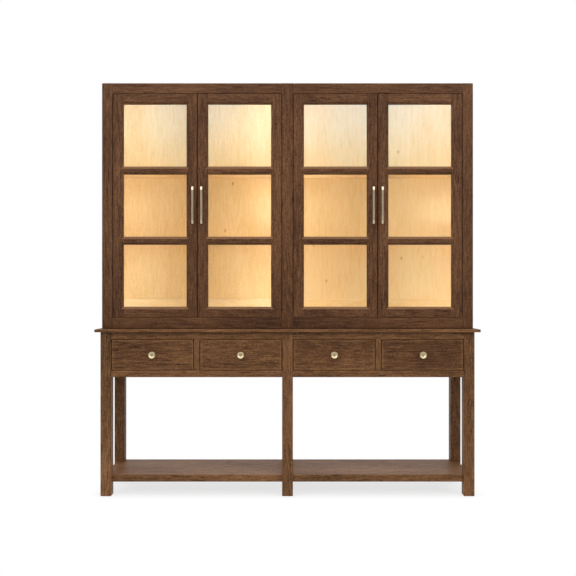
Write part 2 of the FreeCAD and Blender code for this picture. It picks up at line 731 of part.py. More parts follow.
def glass_panes(start, end):
    panes = []
    spread = GLASS_REBATE - GLASS_EDGE_GAP
    x_range = (start + DOOR_STILE - spread, end - DOOR_STILE + spread)
    y_range = (hutch_front + GLASS_SEAT, hutch_front + GLASS_SEAT + GLASS_THICK)
    for low, high in pane_heights():
        panes.append(block([x_range, y_range, (low - spread, high + spread)]))
    return panes


def door_rails(start, end, cuts):
    """The bottom rail, the muntins and the top rail, tenoned into the stiles."""
    solids = []
    x_range = (start + DOOR_STILE, end - DOOR_STILE)
    panes = list(pane_heights())
    from_pane = BEVEL_WIDE + TENON_FROM_BEVEL
    members = [(door_bottom, panes[0][0], DOOR_TENON_SHOULDER, from_pane)]
    for below, above in zip(panes, panes[1:]):
        members.append((below[1], above[0], from_pane, from_pane))
    members.append((panes[-1][1], door_top, from_pane, DOOR_TENON_SHOULDER))
    for low, high, under, over in members:
        ranges = [x_range, (hutch_front, case_front), (low, high)]
        rail = tenoned(ranges, X, Y, DOOR_TENON_LONG, DOOR_TENON_THICK, (under, over))
        solids.append(carve(rail, cuts))
    return solids


def door_hinge_leaves(start, end, side):
    """The leaves let into the door's top and bottom edges, and the bores for the pins."""
    pin_x, inward = hinge_place(start, end, side)
    pin_y = hutch_front + HINGE_DEPTH
    leaves = []
    bores = []
    for face, into in ((door_bottom, 1), (door_top, -1)):
        leaf = hinge_leaf(pin_x, inward, sorted((face, face + into * DOOR_LEAF_THICK)))
        depth = HINGE_PIN_LONG + HINGE_COLLAR_GAP
        bore = cylinder(HINGE_PIN_RADIUS + HINGE_PIN_GAP, depth, V(pin_x, pin_y, face), V(0, 0, into))
        leaves.append(leaf.cut(bore).Solids[0])
        bores.append(leaf.fuse(bore))
    return leaves, bores


def handle(start, end, side):
    """A bar pull with sloped ends on two feet, in the middle of the meeting stile's flat."""
    from_edge = (DOOR_STILE - BEVEL_WIDE) / 2
    x = end - from_edge if side < 0 else start + from_edge
    middle = (door_bottom + door_top) / 2
    low, high = middle - HANDLE_LONG / 2, middle + HANDLE_LONG / 2
    bar_front = hutch_front - HANDLE_REACH
    bar_back = bar_front + HANDLE_BAR_DEEP
    bar_x = (x - HANDLE_BAR_WIDE / 2, x + HANDLE_BAR_WIDE / 2)
    bar = board([bar_x, (bar_front, bar_back), (low, high)], Z, HANDLE_EASE)
    foot_x = (x - HANDLE_FOOT_WIDE / 2, x + HANDLE_FOOT_WIDE / 2)
    wedges = []
    feet = []
    for tip, inward in ((low, 1), (high, -1)):
        corner = V(bar_x[0], bar_front, tip)
        back = corner + V(0, HANDLE_SLOPE_DEEP, 0)
        along = corner + V(0, 0, inward * HANDLE_SLOPE_LONG)
        points = [corner, back, along, corner]
        wedges.append(Part.Face(Part.makePolygon(points)).extrude(V(HANDLE_BAR_WIDE, 0, 0)))
        foot_z = sorted((tip, tip + inward * HANDLE_FOOT_HIGH))
        feet.append(board([foot_x, (bar_back, hutch_front), foot_z], Y, HANDLE_EASE))
    return [carve(bar, wedges)] + feet


def build_doors():
    for number, (start, end, side) in enumerate(door_places(), 1):
        cuts = pane_cuts(start, end)
        rails = door_rails(start, end, cuts)
        leaves, bores = door_hinge_leaves(start, end, side)
        stiles = []
        for x_range in ((start, start + DOOR_STILE), (end - DOOR_STILE, end)):
            stile = board([x_range, (hutch_front, case_front), (door_bottom, door_top)], Z)
            stiles.append(carve(stile, cuts + rails + bores))
        save(f"door_{number}_stiles", stiles)
        save(f"door_{number}_rails", rails)
        save(f"door_{number}_glass", glass_panes(start, end))
        save(f"door_{number}_handle", handle(start, end, side))
        save(f"door_{number}_hinge_leaves", leaves)


os.makedirs("parts", exist_ok=True)
build_base()
build_drawers()
build_hutch()
build_doors()
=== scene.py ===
"""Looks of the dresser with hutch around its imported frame: oak finishes, brass, glazing beads,
fasteners, the lights inside the hutch, and a plain white studio. Metres, +Z up, front to -Y."""
import bpy
import math
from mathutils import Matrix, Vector


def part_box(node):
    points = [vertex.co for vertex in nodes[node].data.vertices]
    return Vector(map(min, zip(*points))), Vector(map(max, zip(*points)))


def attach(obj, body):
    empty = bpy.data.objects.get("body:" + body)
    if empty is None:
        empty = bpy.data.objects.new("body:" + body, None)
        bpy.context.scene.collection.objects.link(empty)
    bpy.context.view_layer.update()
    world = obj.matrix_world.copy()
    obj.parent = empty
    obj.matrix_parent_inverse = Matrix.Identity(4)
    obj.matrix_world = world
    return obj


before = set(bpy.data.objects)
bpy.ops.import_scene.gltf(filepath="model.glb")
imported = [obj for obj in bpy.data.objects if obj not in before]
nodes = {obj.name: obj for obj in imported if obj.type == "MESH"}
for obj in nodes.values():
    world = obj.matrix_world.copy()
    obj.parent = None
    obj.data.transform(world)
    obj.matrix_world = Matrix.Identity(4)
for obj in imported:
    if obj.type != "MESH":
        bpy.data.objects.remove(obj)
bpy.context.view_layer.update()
X, Y, Z = range(3)
MM = 0.001
NUMBERS = range(1, 5)       # of the doors, and of the drawers, from the left


def linear(code):
    """An sRGB hex colour as linear RGBA."""
    parts = [int(code[start:start + 2], 16) / 255 for start in (1, 3, 5)]
    return tuple(p / 12.92 if p <= 0.04045 else ((p + 0.055) / 1.055) ** 2.4 for p in parts) + (1.0,)


def add(tree, kind, inputs, stops=(), **settings):
    """A node with its settings. An input goes by its socket's name, or by its number where names repeat,
    and is a value or another node's output. Stops fill a colour ramp."""
    node = tree.nodes.new("ShaderNode" + kind)
    for name, value in settings.items():
        setattr(node, name, value)
    for name, value in inputs.items():
        if isinstance(value, bpy.types.NodeSocket):
            tree.links.new(value, node.inputs[name])
        else:
            node.inputs[name].default_value = value
    for number, (place, colour) in enumerate(stops):
        elements = node.color_ramp.elements
        stop = elements[number] if number < 2 else elements.new(place)
        stop.position = place
        stop.color = linear(colour) if isinstance(colour, str) else (colour, colour, colour, 1.0)
    return node


def start_material(name):
    """A material with an empty tree, and the tree."""
    material = bpy.data.materials.new(name)
    material.use_nodes = True
    material.node_tree.nodes.clear()
    return material, material.node_tree


def close_material(tree, shader):
    """Gives a material's tree its last node."""
    add(tree, "OutputMaterial", {"Surface": shader.outputs[0]})


# Oak

RING_FIGURE = 110 * MM      # width of one figure in a flat-sawn board
RINGS = 17.0                # ring lines in it: about 14 mm apart, drawn coarser than life so that they show
FIBRE = 6 * MM              # width of a streak of fibres, also drawn coarse
DRIFT = 160 * MM            # width of a slow change of tone
CHECK = 9 * MM              # spacing of the dark drying checks
PORE = 1.6 * MM             # width of an open pore, in the relief alone
FLECK = 5 * MM              # width of a group of cut pores, also drawn coarse
# Of each of these: its width, how many times longer it is along the grain, its noise's detail and roughness.
GRAIN_FIELDS = ((RING_FIGURE, 14, 2.0, 0.35), (FIBRE, 12, 3.0, 0.6), (DRIFT, 4, 1.0, 0.5),
                (CHECK, 9, 1.0, 0.5), (PORE, 30, 1.0, 0.5), (FLECK, 2.5, 1.0, 0.5))
# Shade across one ring: a dark line, then paler wood up to the next line.
RING_STOPS = ((0.0, 0.35), (0.1, 0.15), (0.5, 0.75), (0.9, 0.95), (1.0, 0.35))
RING_SHARE = 0.2            # how far each of these sways the shade
FLECK_SHARE = 0.95
FIBRE_SHARE = 1.35
DRIFT_SHARE = 0.8
CHECK_SHARE = -0.35
SHADE_START = -1.18         # brings their sum to the middle of the shades
CHECK_STARTS = 0.62         # values of the noise where a check begins and where it is darkest
CHECK_DARKEST = 0.74
UPWARD_STARTS = 0.25        # how far up a face looks where its painted light begins and where it is whole
UPWARD_WHOLE = 0.55
BOARD_SHIFT = (11.0, 37.0, 29.0)    # times a piece's own random number: each piece is cut from another board
GRAIN_RELIEF = 0.4 * MM
LACQUER_ROUGHNESS = 0.5     # usual values of the matt lacquer, and of the painted light on upward faces
LACQUER_SWAY = 0.08
LACQUER_GLOSS = 0.14
UPWARD_LIGHT = 0.28
RUBBED = 0.34               # how much paler a front is at its very edge
RUBBED_REACH = 14 * MM
KNOT_ROOM = 130 * MM        # from one pin knot of a natural board to the next
KNOT_CORE = 2.6 * MM        # radius of a knot's dark core, and where it has faded
KNOT_FADED = 9.1 * MM
KNOT_SQUEEZE = 0.6          # a knot's scale along the grain, which draws it out
KNOT_STRENGTH = 0.7
KNOT_COLOUR = "#b4622c"


def oak_figure(tree, grain, upward_light):
    """Cut fibres, growth rings, checks and slow drift of tone in sawn oak along one axis: a shade from
    0 to 1 and a height. Upward faces are paler by the given share: painted light for the light from above and
    its sheen."""
    place = add(tree, "TexCoord", {})
    piece = add(tree, "ObjectInfo", {})
    shift = {0: piece.outputs["Random"], 1: BOARD_SHIFT, 2: place.outputs["Object"]}
    board = add(tree, "VectorMath", shift, operation="MULTIPLY_ADD").outputs[0]
    fields = []
    for width, longer, detail, rough in GRAIN_FIELDS:
        stretch = [1.0, 1.0, 1.0]
        stretch[grain] = 1.0 / longer
        along = add(tree, "Mapping", {"Vector": board, "Scale": stretch}).outputs[0]
        noise = {"Vector": along, "Scale": 1 / width, "Detail": detail, "Roughness": rough}
        fields.append(add(tree, "TexNoise", noise).outputs[0])
    figure, fibre, drift, check, pore, fleck = fields
    count = add(tree, "Math", {0: figure, 1: RINGS}, operation="MULTIPLY").outputs[0]
    turn = add(tree, "Math", {0: count}, operation="FRACT").outputs[0]
    ring = add(tree, "ValToRGB", {0: turn}, stops=RING_STOPS).outputs[0]
    shade = add(tree, "Math", {0: ring, 1: RING_SHARE, 2: SHADE_START}, operation="MULTIPLY_ADD").outputs[0]
    for field, share in ((fleck, FLECK_SHARE), (fibre, FIBRE_SHARE), (drift, DRIFT_SHARE)):
        shade = add(tree, "Math", {0: field, 1: share, 2: shade}, operation="MULTIPLY_ADD").outputs[0]
    facing = add(tree, "SeparateXYZ", {0: place.outputs["Normal"]}).outputs[Z]
    # Checks darken the shade. Upward faces get paler: painted light for the light from above and its sheen.
    for value, starts, whole, change in ((check, CHECK_STARTS, CHECK_DARKEST, CHECK_SHARE),
                                         (facing, UPWARD_STARTS, UPWARD_WHOLE, upward_light)):
        range_of = {"Value": value, "From Min": starts, "From Max": whole, "To Min": 0.0, "To Max": change}
        extra = add(tree, "MapRange", range_of).outputs[0]
        shade = add(tree, "Math", {0: shade, 1: extra}, operation="ADD").outputs[0]
    height = add(tree, "Math", {0: fibre, 1: pore, 2: ring}, operation="MULTIPLY_ADD").outputs[0]
    return shade, height


def oak_shader(tree, colour, shade, height, roughness, gloss):
    """A matt, open-pored lacquer: rougher in the dark fibres."""
    sway = {"Value": shade, "To Min": roughness + LACQUER_SWAY, "To Max": roughness - LACQUER_SWAY}
    rough = add(tree, "MapRange", sway).outputs[0]
    bump = add(tree, "Bump", {"Height": height, "Strength": 0.18, "Distance": GRAIN_RELIEF})
    return add(tree, "BsdfPrincipled", {"Base Color": colour, "Roughness": rough, "Normal": bump.outputs[0],
                                        "Specular IOR Level": gloss})


def rubbed_edges(tree, shade, half_wide, half_high):
    """The shade of a front, lighter towards its four edges, where hands have rubbed the stain thin."""
    place = add(tree, "TexCoord", {}).outputs["Generated"]
    centred = add(tree, "VectorMath", {0: place, 1: (0.5, 0.5, 0.5)}, operation="SUBTRACT").outputs[0]
    out = add(tree, "VectorMath", {0: centred}, operation="ABSOLUTE").outputs[0]
    size = (2 * half_wide, 0.0, 2 * half_high)
    out = add(tree, "VectorMath", {0: out, 1: size}, operation="MULTIPLY").outputs[0]
    edge = (half_wide, 1.0, half_high)
    inset = add(tree, "VectorMath", {0: edge, 1: out}, operation="SUBTRACT").outputs[0]
    inset = add(tree, "SeparateXYZ", {0: inset})
    nearest = add(tree, "Math", {0: inset.outputs[X], 1: inset.outputs[Z]}, operation="MINIMUM").outputs[0]
    rub = {"Value": nearest, "From Min": 0.0, "From Max": RUBBED_REACH, "To Min": RUBBED, "To Max": 0.0}
    wear = add(tree, "MapRange", rub).outputs[0]
    return add(tree, "Math", {0: shade, 1: wear}, operation="ADD").outputs[0]


def oak(name, grain, shades, roughness=LACQUER_ROUGHNESS, gloss=LACQUER_GLOSS, upward_light=UPWARD_LIGHT, front=()):
    """Oak along one axis, in shades from its dark fibres to its light ones. A front, given by its half
    width and half height, has rubbed edges."""
    material, tree = start_material(name)
    shade, height = oak_figure(tree, grain, upward_light)
    if front:
        shade = rubbed_edges(tree, shade, *front)
    colour = add(tree, "ValToRGB", {0: shade}, stops=shades).outputs[0]
    close_material(tree, oak_shader(tree, colour, shade, height, roughness, gloss))
    return material


def pin_knots(tree, colour, grain):
    """The colour of a natural board with small brown knots here and there, drawn out along the grain."""
    stretch = [1.0, 1.0, 1.0]
    stretch[grain] = KNOT_SQUEEZE
    place = add(tree, "TexCoord", {}).outputs["Object"]
    along = add(tree, "Mapping", {"Vector": place, "Scale": stretch}).outputs[0]
    away = add(tree, "TexVoronoi", {"Vector": along, "Scale": 1 / KNOT_ROOM}).outputs["Distance"]
    fade = {"Value": away, "From Min": KNOT_CORE / KNOT_ROOM, "From Max": KNOT_FADED / KNOT_ROOM,
            "To Min": KNOT_STRENGTH, "To Max": 0.0}
    knot = add(tree, "MapRange", fade).outputs[0]
    return add(tree, "Mix", {0: knot, 6: colour, 7: linear(KNOT_COLOUR)}, data_type="RGBA").outputs[2]


def two_part_oak(name, grain, outer, inner, axis, start, end, knotty=False):
    """Oak in two finishes or from two boards: the inner shades between two places on an axis, the outer
    shades past them."""
    material, tree = start_material(name)
    shade, height = oak_figure(tree, grain, UPWARD_LIGHT)
    place = add(tree, "TexCoord", {}).outputs["Object"]
    value = add(tree, "SeparateXYZ", {0: place}).outputs[axis]
    between = {0: value, 1: (start + end) / 2, 2: (end - start) / 2}
    inside = add(tree, "Math", between, operation="COMPARE").outputs[0]
    outer_colour = add(tree, "ValToRGB", {0: shade}, stops=outer).outputs[0]
    inner_colour = add(tree, "ValToRGB", {0: shade}, stops=inner).outputs[0]
    colour = add(tree, "Mix", {0: inside, 6: outer_colour, 7: inner_colour}, data_type="RGBA").outputs[2]
    if knotty:
        colour = pin_knots(tree, colour, grain)
    close_material(tree, oak_shader(tree, colour, shade, height, LACQUER_ROUGHNESS, LACQUER_GLOSS))
    return material


# Stained oak: dull brown on the hutch, a little warmer on the base, darker on drawer fronts. The back legs
# take the drawer fronts' darker shades as painted shade, for the dimmer light behind.
HUTCH_SHADES = ((0.0, "#301c0f"), (0.28, "#4b2f1c"), (0.5, "#5a3b25"), (0.72, "#69472e"), (1.0, "#7d5839"))
BASE_SHADES = ((0.0, "#3d2817"), (0.28, "#5d3f25"), (0.5, "#714e31"), (0.72, "#815a3a"), (1.0, "#966e4b"))
DRAWER_SHADES = ((0.0, "#332012"), (0.28, "#4e331e"), (0.5, "#603f26"), (0.72, "#724f32"), (1.0, "#8a633d"))
# Natural oak of the lit inside, with matt lacquer: pale straw with faint upright grain.
NATURAL_SHADES = ((0.0, "#ecc382"), (0.28, "#f1ca8c"), (0.5, "#f4d094"), (0.72, "#f5d398"), (1.0, "#f7d8a2"))
# The left back panel is cut from a redder board than the right one.
REDDER_SHADES = ((0.0, "#e4b671"), (0.28, "#e9bd7b"), (0.5, "#edc483"), (0.72, "#f0c98a"), (1.0, "#f3ce92"))
# Near black, on the slim posts behind the doors' meeting edges: painted shade that keeps the gaps there dark.
POST_PAINTED_SHADE = ((0.0, "#0b0907"), (0.28, "#120e0b"), (0.5, "#17120e"), (0.72, "#1c1612"), (1.0, "#241d17"))
# Plain sanded hardwood of drawer boxes and runners: a dull light brown.
BOX_SHADES = ((0.0, "#a27f55"), (0.28, "#b99467"), (0.5, "#c5a177"), (0.72, "#cfae86"), (1.0, "#dac099"))
HUTCH_UPWARD_LIGHT = 0.65           # painted light: paler share of the hutch's and the base's upward faces
BASE_UPWARD_LIGHT = 0.1
SEAM = 0.3 * MM             # how far past a face its finish ends, inside the wood
FLOOR_EDGE_STAIN_AND_SHADE = 5.2 * MM      # how far the stain of the hutch floor's front edge reaches back; that stain is also painted shade that keeps the doors' bottom gap dark
AXIS_NAMES = "xyz"


def half_length(node, axis):
    """Half of a node's length along an axis."""
    low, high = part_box(node)
    return (high[axis] - low[axis]) / 2


front_halves = half_length("drawer_1_front", X), half_length("drawer_1_front", Z)
side_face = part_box("led_channels")[1][X]        # the level channels end at the inner faces of the sides
ceiling_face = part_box("hutch_top")[0][Z]
frame_front, frame_back = (corner[Y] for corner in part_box("face_frame_rails"))
floor_front, floor_back = (corner[Y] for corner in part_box("hutch_floor"))
panels_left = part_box("hutch_back")[0][X]

hutch_oak = {}
for axis in (X, Z):
    hutch_oak[axis] = oak(f"stained_oak_hutch_{AXIS_NAMES[axis]}", axis, HUTCH_SHADES, upward_light=HUTCH_UPWARD_LIGHT)
base_oak = {}
for axis in (X, Y, Z):
    base_oak[axis] = oak(f"stained_oak_base_{AXIS_NAMES[axis]}", axis, BASE_SHADES, upward_light=BASE_UPWARD_LIGHT)
# The back legs are darker than the front ones: painted shade, for the dimmer light behind.
shaded_back_leg_oak = oak("stained_oak_back_leg_painted_shade", Z, DRAWER_SHADES)
drawer_oak = oak("stained_oak_drawer_front", X, DRAWER_SHADES, front=front_halves)
natural_oak = oak("natural_oak", X, NATURAL_SHADES, roughness=0.55, gloss=0.2)
box_wood = oak("sanded_hardwood", Y, BOX_SHADES, roughness=0.6, gloss=0.25)
back_oak = two_part_oak("natural_oak_back_panels", Z, NATURAL_SHADES, REDDER_SHADES,
                        X, panels_left - SEAM, 0.0, knotty=True)
side_oak = two_part_oak("case_oak_sides", Z, HUTCH_SHADES, NATURAL_SHADES,
                        X, -side_face - SEAM, side_face + SEAM)
ceiling_oak = two_part_oak("case_oak_ceiling", X, HUTCH_SHADES, NATURAL_SHADES, Z, 0.0, ceiling_face + SEAM)
# The posts behind the stiles take the near-black painted shade of the gaps.
stile_oak = two_part_oak("case_oak_stiles", Z, POST_PAINTED_SHADE, HUTCH_SHADES,
                         Y, frame_front - SEAM, frame_back + SEAM)
# The floor's stained front edge is also painted shade for the bottom gap of the doors.
floor_oak = two_part_oak("case_oak_floor", X, HUTCH_SHADES, NATURAL_SHADES,
                         Y, floor_front + FLOOR_EDGE_STAIN_AND_SHADE, floor_back + SEAM)


# Metals, glass, plastics

def clouded(tree, dark, light, width, detail, upright=1.0):
    """A cloud of spots of one width, and its colour from dark to light. An upright scale under 1 draws the
    spots out to upright lines."""
    place = add(tree, "TexCoord", {}).outputs["Object"]
    along = add(tree, "Mapping", {"Vector": place, "Scale": (1.0, 1.0, upright)}).outputs[0]
    cloud = add(tree, "TexNoise", {"Vector": along, "Scale": 1 / width, "Detail": detail}).outputs[0]
    colour = add(tree, "ValToRGB", {0: cloud}, stops=((0.3, dark), (0.7, light))).outputs[0]
    return cloud, colour


def metal(name, dark, light, width, detail, smooth, rough, upright=1.0, relief=0.0):
    """A metal whose tone and roughness, from smooth to rough, go with a cloud, as does any relief."""
    material, tree = start_material(name)
    cloud, colour = clouded(tree, dark, light, width, detail, upright)
    roughness = add(tree, "MapRange", {"Value": cloud, "To Min": smooth, "To Max": rough}).outputs[0]
    surface = {"Base Color": colour, "Metallic": 1.0, "Roughness": roughness}
    if relief:
        bump = add(tree, "Bump", {"Height": cloud, "Strength": 0.1, "Distance": relief})
        surface["Normal"] = bump.outputs[0]
    close_material(tree, add(tree, "BsdfPrincipled", surface))
    return material


def satin_brass(name, dark, light):
    """Champagne brass, brushed and lacquered: pale gold with fine upright lines in its highlights, drawn
    coarser than life."""
    return metal(name, dark, light, width=0.5 * MM, detail=2.0, smooth=0.24, rough=0.38,
                 upright=0.05, relief=0.05 * MM)


def anodised_aluminium():
    """Drawn, black anodised light channel. Its black is also painted shade that keeps the gaps beside the
    doors dark. It has drawing lines along it, also coarser than life."""
    return metal("black_gap_shade_aluminium", "#2a2826", "#3a3835", width=0.7 * MM, detail=2.0,
                 smooth=0.32, rough=0.46, upright=0.03)


def zinc_steel():
    """Zinc-plated screws: cool grey with a cloudy plating."""
    return metal("zinc_plated_steel", "#b4b5b6", "#cfcfce", width=3 * MM, detail=3.0, smooth=0.28, rough=0.45)


def blackened_steel():
    """Blackened hinge leaves and magnets: dull, almost black, with a cloudy bloom."""
    return metal("blackened_steel", "#2b2622", "#403833", width=4 * MM, detail=3.0, smooth=0.45, rough=0.65)


def float_glass():
    """Clear float glass: almost no tint, a faint reflection."""
    material, tree = start_material("clear_float_glass")
    colour = clouded(tree, "#fbfdfc", "#fefffe", width=200 * MM, detail=1.0)[1]
    surface = {"Base Color": colour, "Roughness": 0.0, "IOR": 1.45, "Transmission Weight": 1.0,
               "Specular IOR Level": 0.25}
    close_material(tree, add(tree, "BsdfPrincipled", surface))
    return material


def moulded_plastic(name, dark, light, grit, roughness):
    """Injection-moulded plastic: dull, with the spark texture of its mould, drawn coarser than life."""
    material, tree = start_material(name)
    spark, colour = clouded(tree, dark, light, width=grit, detail=2.0)
    bump = add(tree, "Bump", {"Height": spark, "Strength": 0.15, "Distance": 0.1 * MM})
    surface = {"Base Color": colour, "Roughness": roughness, "IOR": 1.46, "Normal": bump.outputs[0]}
    close_material(tree, add(tree, "BsdfPrincipled", surface))
    return material


def lit_opal():
    """Opal acrylic strip: milky, with the light diodes glowing through it."""
    material, tree = start_material("lit_opal_acrylic")
    colour = clouded(tree, "#f4ead2", "#fbf4e4", width=16 * MM, detail=1.0)[1]
    surface = {"Base Color": colour, "Roughness": 0.4, "IOR": 1.49,
               "Emission Color": linear("#fff0d0"), "Emission Strength": 2.0}
    close_material(tree, add(tree, "BsdfPrincipled", surface))
    return material


brass = satin_brass("satin_champagne_brass", "#bfad90", "#d8c9ae")
knob_brass = satin_brass("turned_champagne_brass", "#aa9977", "#c7b894")
aluminium = anodised_aluminium()
steel = zinc_steel()
dark_steel = blackened_steel()
glass = float_glass()
opal = lit_opal()
nylon = moulded_plastic("black_nylon", "#1b1a19", "#282725", grit=0.8 * MM, roughness=0.5)
driver_plastic = moulded_plastic("white_polycarbonate", "#dedcd6", "#ebe9e4", grit=0.6 * MM, roughness=0.45)


# Finishes of the frame's own pieces

def finish_nodes():
    """Gives each node of the frame its material."""
    finishes = {
        "base_top": base_oak[X], "front_rails": base_oak[X], "drawer_dividers": base_oak[Z],
        "side_aprons": base_oak[Y], "back_aprons": base_oak[X], "lower_shelf": base_oak[X],
        "drawer_runners": box_wood, "foot_glides": nylon,
        "hutch_uprights": side_oak, "hutch_top": ceiling_oak, "hutch_floor": floor_oak,
        "hutch_back": back_oak, "back_cleats": natural_oak, "hutch_shelves": natural_oak,
        "face_frame_stiles": stile_oak, "face_frame_rails": hutch_oak[X],
        "shelf_pins": brass, "frame_hinge_leaves": dark_steel, "door_catches": dark_steel,
        "led_channels": aluminium, "led_diffusers": opal, "led_driver": driver_plastic,
    }
    for column in ("left", "centre", "right"):
        finishes[f"leg_front_{column}"] = base_oak[Z]
        finishes[f"leg_back_{column}"] = shaded_back_leg_oak
    for number in NUMBERS:
        finishes[f"door_{number}_stiles"] = hutch_oak[Z]
        finishes[f"door_{number}_rails"] = hutch_oak[X]
        finishes[f"door_{number}_glass"] = glass
        finishes[f"door_{number}_handle"] = brass
        finishes[f"door_{number}_hinge_leaves"] = dark_steel
        finishes[f"drawer_{number}_front"] = drawer_oak
        finishes[f"drawer_{number}_box"] = box_wood
        finishes[f"drawer_{number}_knob"] = knob_brass
    for name, node in nodes.items():
        node.data.materials.clear()
        node.data.materials.append(finishes[name])


finish_nodes()


# Small pieces

def make_piece(name, points, faces, materials, body, face_materials=()):
    """A mesh piece that rides on a body. face_materials gives the number of each face's material."""
    mesh = bpy.data.meshes.new(name)
    mesh.from_pydata(points, [], faces)
    for material in materials:
        mesh.materials.append(material)
    for face, index in zip(mesh.polygons, face_materials):
        face.material_index = index
    mesh.update()
    piece = bpy.data.objects.new(name, mesh)
    bpy.context.scene.collection.objects.link(piece)
    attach(piece, body)
    return piece


# A bead's section in mm: out from the sight opening's edge, and back from the glass.
BEAD_PROFILE = ((6.9, 0.0), (0.6, 0.0), (0.6, 3.5), (1.4, 5.4), (3.2, 6.7), (6.9, 7.0))
MITRE_GAP = 0.12            # mm, each bead's end from the mitre
DOOR_STILE = 56.0           # mm, widths of a door's wood
DOOR_RAIL = 55.0
MUNTIN = 44.0
PANE_ROWS = 3


def pane_heights(bottom, top):
    """The z range of each pane's sight opening in a door, from the bottom."""
    high = (top - bottom - 2 * DOOR_RAIL - (PANE_ROWS - 1) * MUNTIN) / PANE_ROWS
    for row in range(PANE_ROWS):
        low = bottom + DOOR_RAIL + row * (high + MUNTIN)
        yield low, low + high


def glazing_beads(number):
    """Four mitred beads behind each pane of a door, in its rebate."""
    (start, _, bottom), (end, _, top) = (Vector(corner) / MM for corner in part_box(f"door_{number}_stiles"))
    glass_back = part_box(f"door_{number}_glass")[1][Y] / MM
    points, faces, finishes = [], [], []
    count = len(BEAD_PROFILE)
    for low, high in pane_heights(bottom, top):
        corners = ((start + DOOR_STILE, low, -1, -1), (end - DOOR_STILE, low, 1, -1),
                   (end - DOOR_STILE, high, 1, 1), (start + DOOR_STILE, high, -1, 1))
        for side in range(4):
            first = len(points)
            ends = (corners[side], corners[(side + 1) % 4])
            level = side % 2 == 0
            for (x, z, out_x, out_z), inward in zip(ends, (1, -1)):
                way = inward * MITRE_GAP * (1 if side < 2 else -1)
                for out, back in BEAD_PROFILE:
                    point = Vector((x + out_x * out, glass_back + back, z + out_z * out))
                    point[X if level else Z] += way
                    points.append(point * MM)
            for k in range(count):
                after = (k + 1) % count
                faces.append((first + k, first + after, first + count + after, first + count + k))
            faces.append(tuple(range(first + count - 1, first - 1, -1)))
            faces.append(tuple(range(first + count, first + 2 * count)))
            finishes += [0 if level else 1] * (count + 2)
    make_piece(f"door_{number}_glazing_beads", points, faces, (hutch_oak[X], hutch_oak[Z]),
               f"door_{number}", finishes)


HEAD_SIDES = 24
# A pan head's section in shares of its radius: out from the middle, and up from the surface.
HEAD_PROFILE = ((1.0, 0.0), (1.0, 0.16), (0.86, 0.30), (0.62, 0.38), (0.3, 0.38), (0.12, 0.38))
RECESS = 0.3                # depth of the cross recess, and the shares of its middle and its arms
RECESS_MIDDLE = 0.2
RECESS_ARM = 0.5


def screw_head(points, faces, centre, out, radius):
    """A pan-head screw with a cross recess, its rim at centre on an upright face, its crown along out."""
    out = Vector(out)
    across = Vector((0, 0, 1))
    over = out.cross(across)
    first = len(points)
    quarter = HEAD_SIDES // 4
    for share, rise in HEAD_PROFILE:
        for step in range(HEAD_SIDES):
            angle = 2 * math.pi * step / HEAD_SIDES
            in_arm = step % quarter in (0, 1, quarter - 1)
            sunk = RECESS if share < RECESS_MIDDLE or (share < RECESS_ARM and in_arm) else 0.0
            offset = across * math.cos(angle) + over * math.sin(angle)
            points.append(Vector(centre) + (offset * share + out * (rise - sunk)) * radius)
    last = first + (len(HEAD_PROFILE) - 1) * HEAD_SIDES
    for low in range(first, last, HEAD_SIDES):
        high = low + HEAD_SIDES
        for step in range(HEAD_SIDES):
            after = (step + 1) % HEAD_SIDES
            faces.append((low + step, low + after, high + after, high + step))
    faces.append(tuple(last + step for step in range(HEAD_SIDES)))


BACKWARD = (0, 1, 0)
PULL_FOOT = 8 * MM          # from a pull's end to the middle of its foot
PULL_SCREW = 4 * MM         # radius of a screw's head
PANEL_SCREW = 3.5 * MM


def pull_screws(number):
    """The two screws of a bar pull, on the back of the door behind the pull's feet."""
    low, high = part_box(f"door_{number}_handle")
    x = (low[X] + high[X]) / 2
    door_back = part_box(f"door_{number}_stiles")[1][Y]
    points, faces = [], []
    for z in (low[Z] + PULL_FOOT, high[Z] - PULL_FOOT):
        screw_head(points, faces, (x, door_back, z), BACKWARD, PULL_SCREW)
    make_piece(f"door_{number}_pull_screws", points, faces, (steel,), f"door_{number}")


for number in NUMBERS:
    glazing_beads(number)
    pull_screws(number)


# Places of the panel screws, in mm.
SCREW_COLUMNS = (-972.0, -5.5, 5.5, 972.0)      # x of those in the sides, and beside the seam
COLUMN_START = 905.0
COLUMN_STEP = 181.0
COLUMN_COUNT = 8
SCREW_ROWS = (941.0, 2182.0)                    # z of those in the floor and in the top
ROW_STEP = 160.0
ROW_COUNT = 5               # on each side of the seam


def back_screws():
    """Screws that hold the two back panels to the sides, the partition, the top and the floor."""
    places = []
    for x in SCREW_COLUMNS:
        places += [(x, COLUMN_START + COLUMN_STEP * step) for step in range(COLUMN_COUNT)]
    for z in SCREW_ROWS:
        for side in (-1, 1):
            places += [(side * ROW_STEP * (step + 1), z) for step in range(ROW_COUNT)]
    panel_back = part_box("hutch_back")[1][Y]
    points, faces = [], []
    for x, z in places:
        screw_head(points, faces, (x * MM, panel_back, z * MM), BACKWARD, PANEL_SCREW)
    make_piece("back_panel_screws", points, faces, (steel,), "cabinet")


back_screws()


# Light

def area_lamp(name, place, target, size, power, colour="#ffffff"):
    """A rectangular lamp of so many watts that looks at its target and doesn't show itself."""
    light = bpy.data.lights.new(name, "AREA")
    light.shape = "RECTANGLE"
    light.size, light.size_y = size
    light.energy = power
    light.color = linear(colour)[:3]
    lamp = bpy.data.objects.new(name, light)
    lamp.location = place
    lamp.rotation_euler = (Vector(target) - Vector(place)).to_track_quat("-Z", "Y").to_euler()
    lamp.visible_camera = False
    bpy.context.scene.collection.objects.link(lamp)
    return lamp


HANDS = (("left", -1), ("right", 1))


